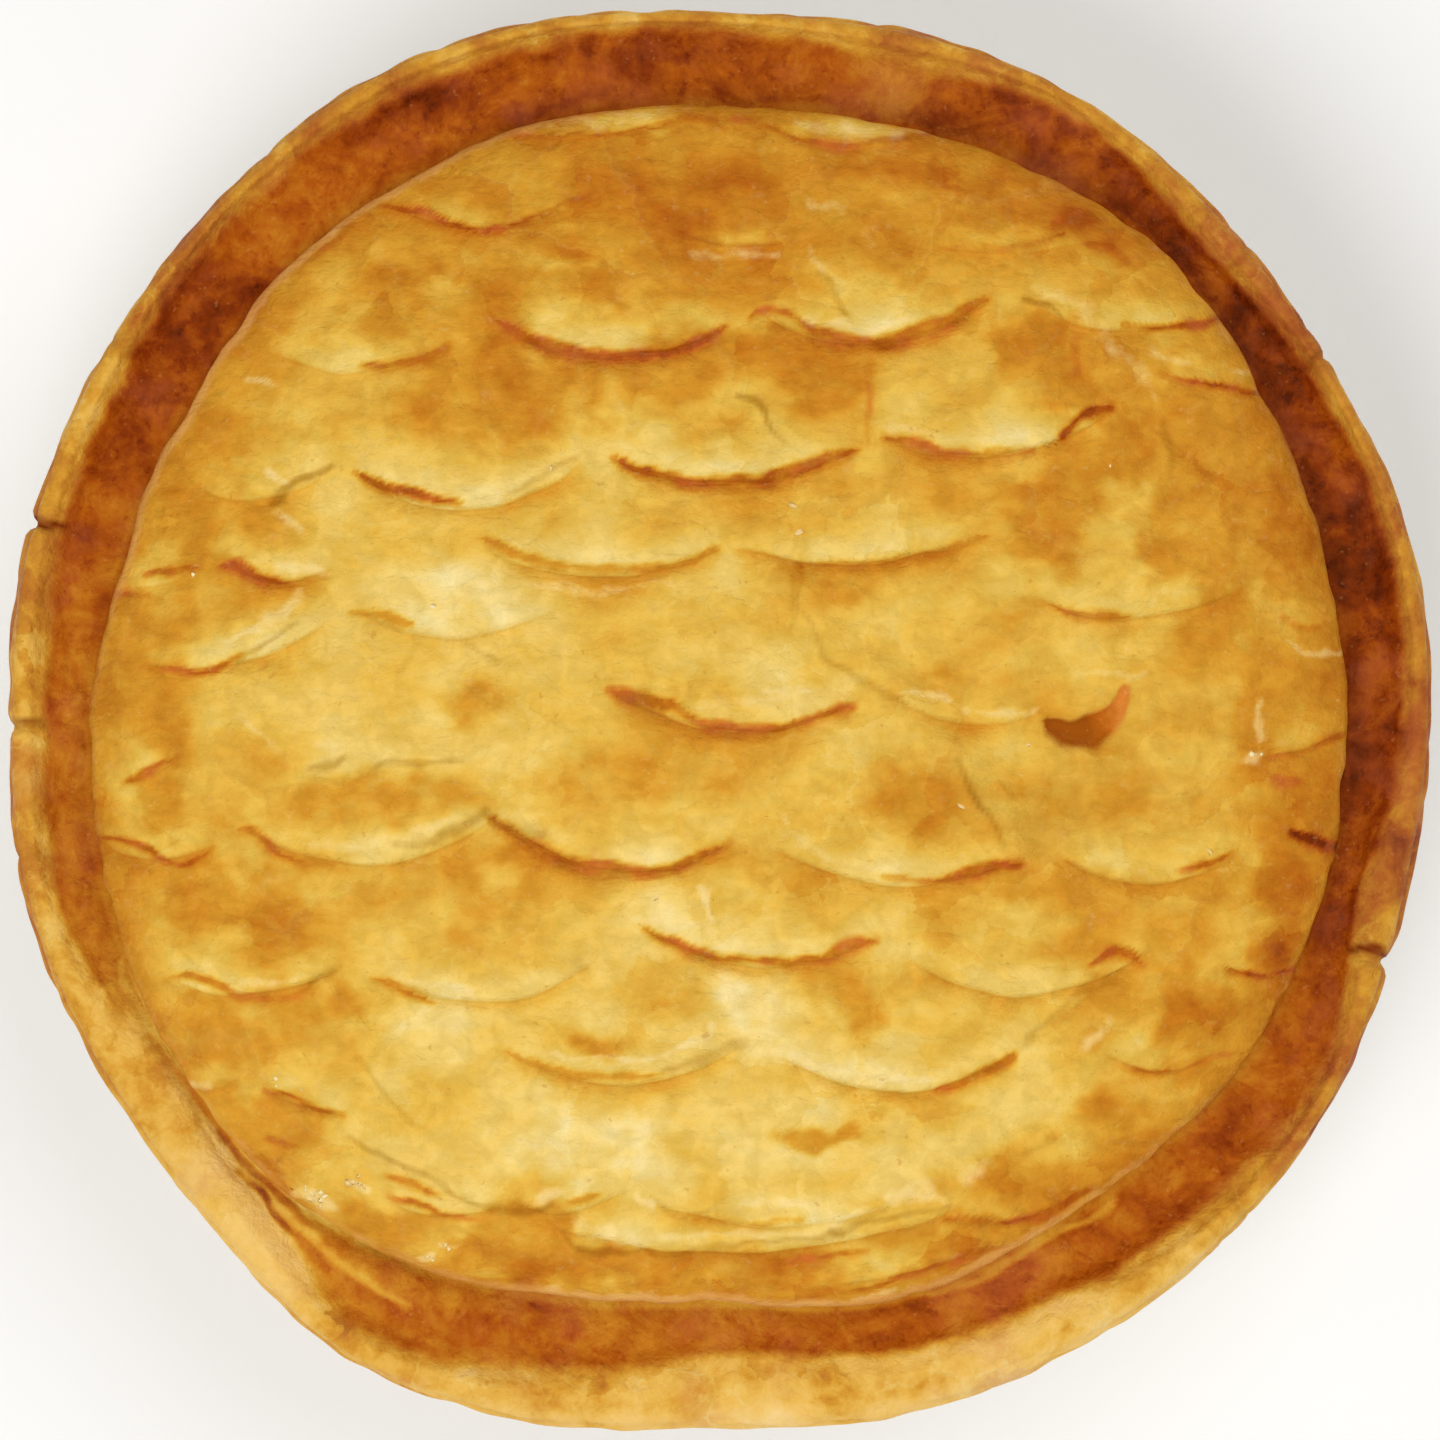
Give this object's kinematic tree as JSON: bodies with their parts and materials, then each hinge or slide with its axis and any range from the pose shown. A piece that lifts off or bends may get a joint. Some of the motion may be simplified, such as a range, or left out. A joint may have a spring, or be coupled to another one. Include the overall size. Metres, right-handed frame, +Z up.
{
  "type": "chicken pie",
  "caption": "Round family-size pie in its dish, with a domed puff pastry lid cut in fish-scale rows, a brown pressed groove and a golden rim.",
  "frame": {"origin": "middle of the dish's flat underside, at the level that it stands on", "axes": "+Z up through the lid, +Y to the back of the pie as seen in the picture, +X to its right"},
  "size_m": [0.2004, 0.1997, 0.0566],
  "materials": {
    "dish_glaze": "plain off-white glaze, smooth and shiny",
    "brown_pastry": "baked shortcrust, deep brown and slightly glossy where egg wash pooled in the groove, golden on the rim",
    "golden_pastry": "baked egg-washed puff pastry, golden yellow with browned patches and brown cut edges, satin"
  },
  "bodies": {
    "root": {"dish": "dish_glaze", "pie_body": "brown_pastry", "pastry_lid": "golden_pastry"}
  },
  "joints": []
}
